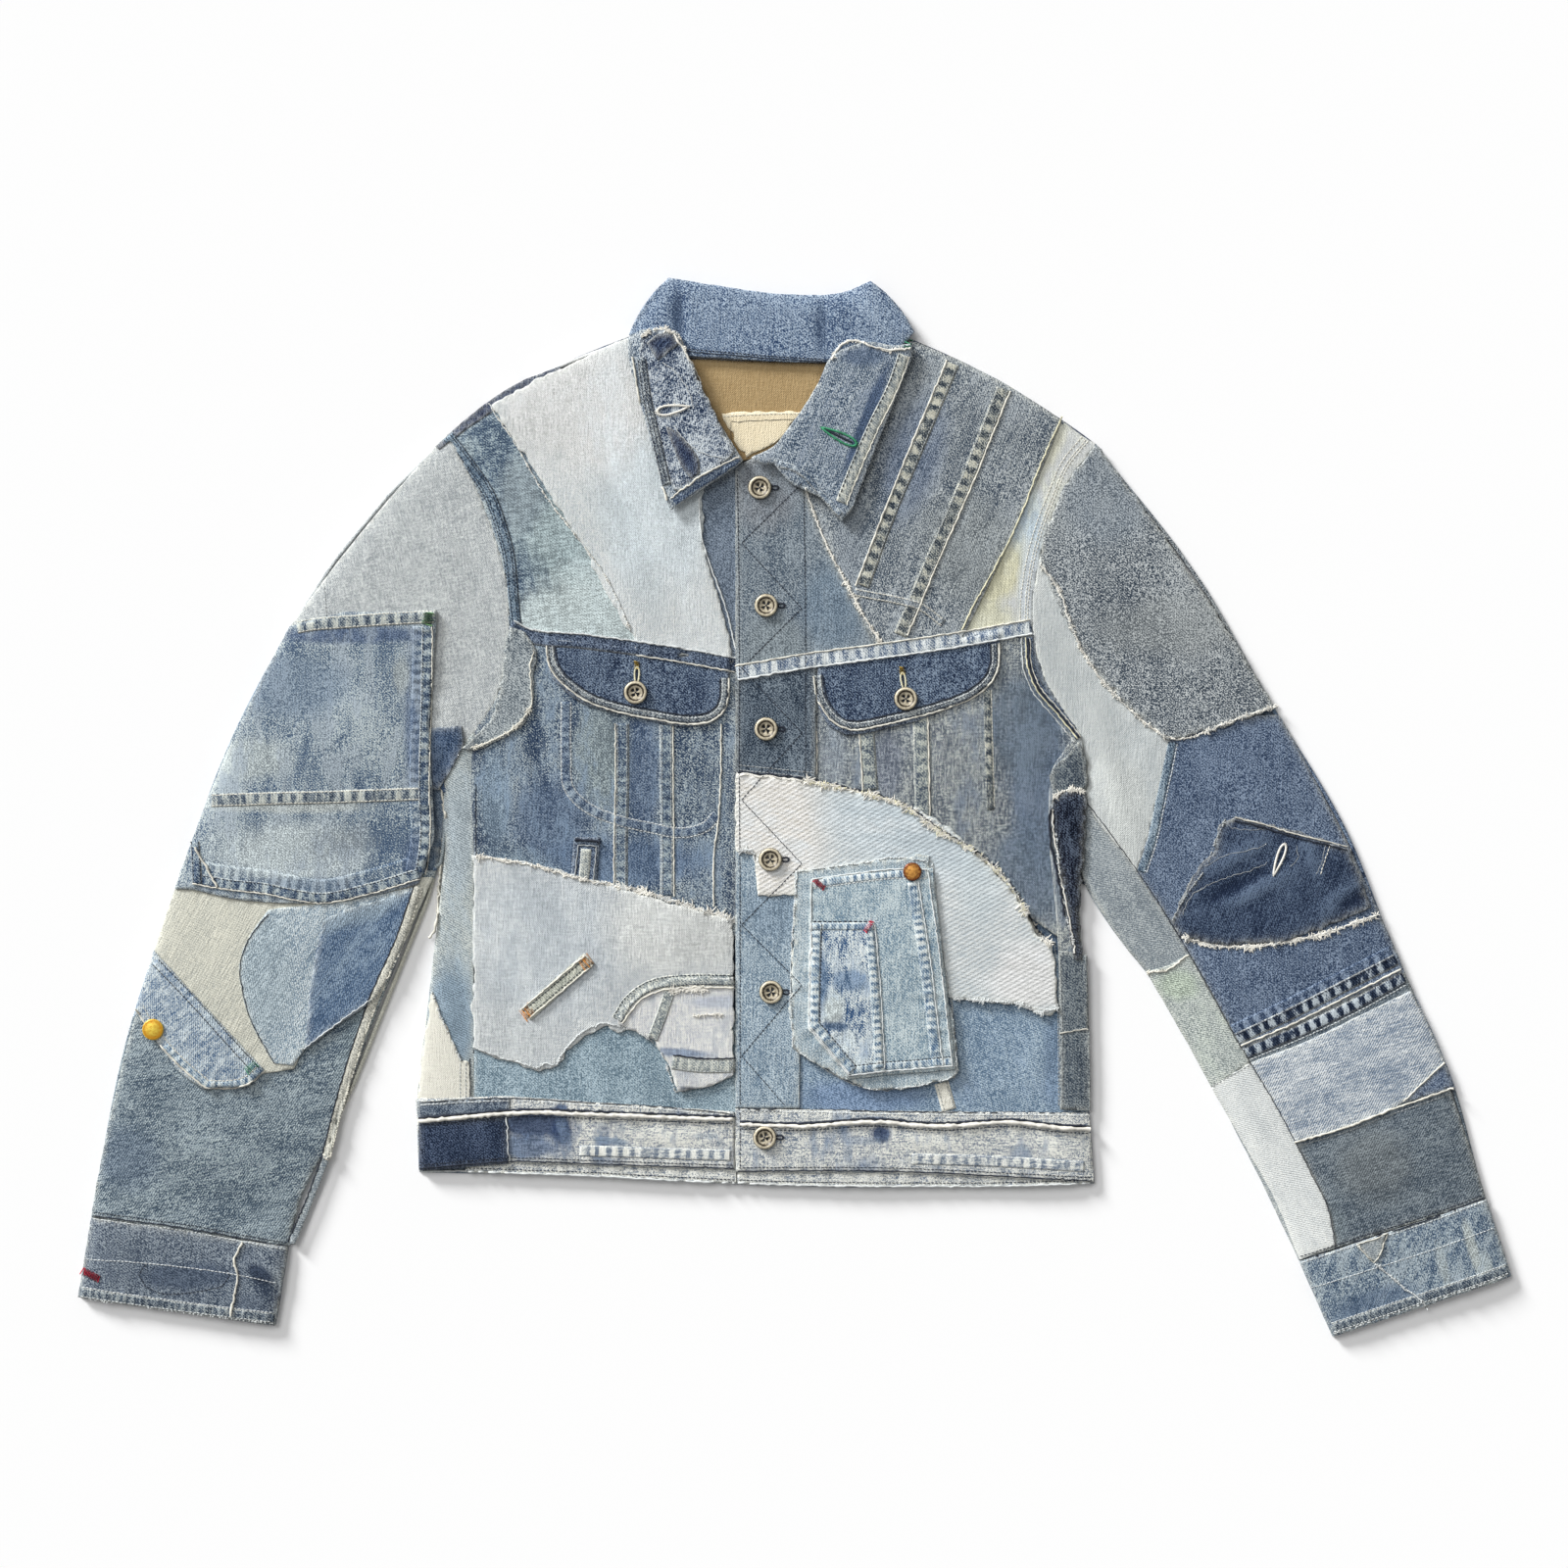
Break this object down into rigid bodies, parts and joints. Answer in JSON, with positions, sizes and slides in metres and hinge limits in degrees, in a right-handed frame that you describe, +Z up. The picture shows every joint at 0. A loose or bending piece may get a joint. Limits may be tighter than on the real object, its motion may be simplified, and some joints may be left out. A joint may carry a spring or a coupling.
{
  "type": "patched denim boro jacket",
  "caption": "Cropped button-front denim jacket laid flat, pieced from faded, dark and cream patches with frayed edges, chest flaps, a stitched utility pocket and open cuffs.",
  "frame": {"origin": "middle of the jacket's footprint, on the surface that it lies on", "axes": "+X towards the wearer's left sleeve, +Y towards the collar, +Z up from the surface through the buttoned front"},
  "size_m": [1.022, 0.754, 0.012],
  "materials": {
    "washed_denim": "soft, matt, faded twill",
    "dark_denim": "matt dark indigo twill, crackled where worn",
    "indigo_denim": "matt mid-indigo twill with streaks along the warp",
    "pale_denim": "bleached, matt, brushed",
    "slub_denim": "grey-blue slubbed twill, matt",
    "cream_cotton": "undyed cotton, frayed at its raw edges",
    "khaki_lining": "plain-woven lining, matt",
    "dark_bronze": "dark bronze, worn bright on the rim",
    "pale_brass": "yellow brass, satin",
    "copper": "copper, satin"
  },
  "bodies": {
    "root": {"back_body": "indigo_denim", "back_hem": "indigo_denim", "back_yoke": "dark_denim", "collar_back": "washed_denim", "front_button_1": "dark_bronze", "front_button_2": "dark_bronze", "front_button_3": "dark_bronze", "front_button_4": "dark_bronze", "front_button_5": "dark_bronze", "front_button_6": "dark_bronze", "left_arc_panel": "cream_cotton", "left_bottom_panel": "washed_denim", "left_chest": "indigo_denim", "left_collar_leaf": "washed_denim", "left_cuff": "washed_denim", "left_flap": "dark_denim", "left_flap_button": "dark_bronze", "left_hem": "pale_denim", "left_pen_pocket": "washed_denim", "left_placket": "washed_denim", "left_placket_lower": "washed_denim", "left_pocket_backing": "washed_denim", "left_shoulder": "pale_denim", "left_side_panel": "dark_denim", "left_sleeve_dark_patch": "dark_denim", "left_sleeve_gusset": "pale_denim", "left_sleeve_indigo": "indigo_denim", "left_sleeve_lower": "slub_denim", "left_sleeve_pale": "pale_denim", "left_sleeve_under": "indigo_denim", "left_sleeve_upper": "washed_denim", "left_utility_pocket": "washed_denim", "left_yoke": "washed_denim", "left_yoke_tape": "pale_denim", "neck_label": "cream_cotton", "neck_lining": "khaki_lining", "placket_dark_patch": "dark_denim", "pocket_rivet": "copper", "right_belt_loop": "pale_denim", "right_bottom_panel": "washed_denim", "right_button_stand": "indigo_denim", "right_chest": "indigo_denim", "right_collar_leaf": "washed_denim", "right_cuff": "washed_denim", "right_flap": "dark_denim", "right_flap_button": "dark_bronze", "right_hem": "slub_denim", "right_hip_inset": "washed_denim", "right_lower_panel": "pale_denim", "right_shoulder": "slub_denim", "right_side_panel": "slub_denim", "right_sleeve_flap": "washed_denim", "right_sleeve_lower": "slub_denim", "right_sleeve_patches": "cream_cotton", "right_sleeve_pocket": "washed_denim", "right_sleeve_under": "indigo_denim", "right_sleeve_upper": "washed_denim", "right_yoke": "pale_denim", "right_yoke_tape": "dark_denim", "sleeve_flap_button": "pale_brass"}
  },
  "joints": []
}
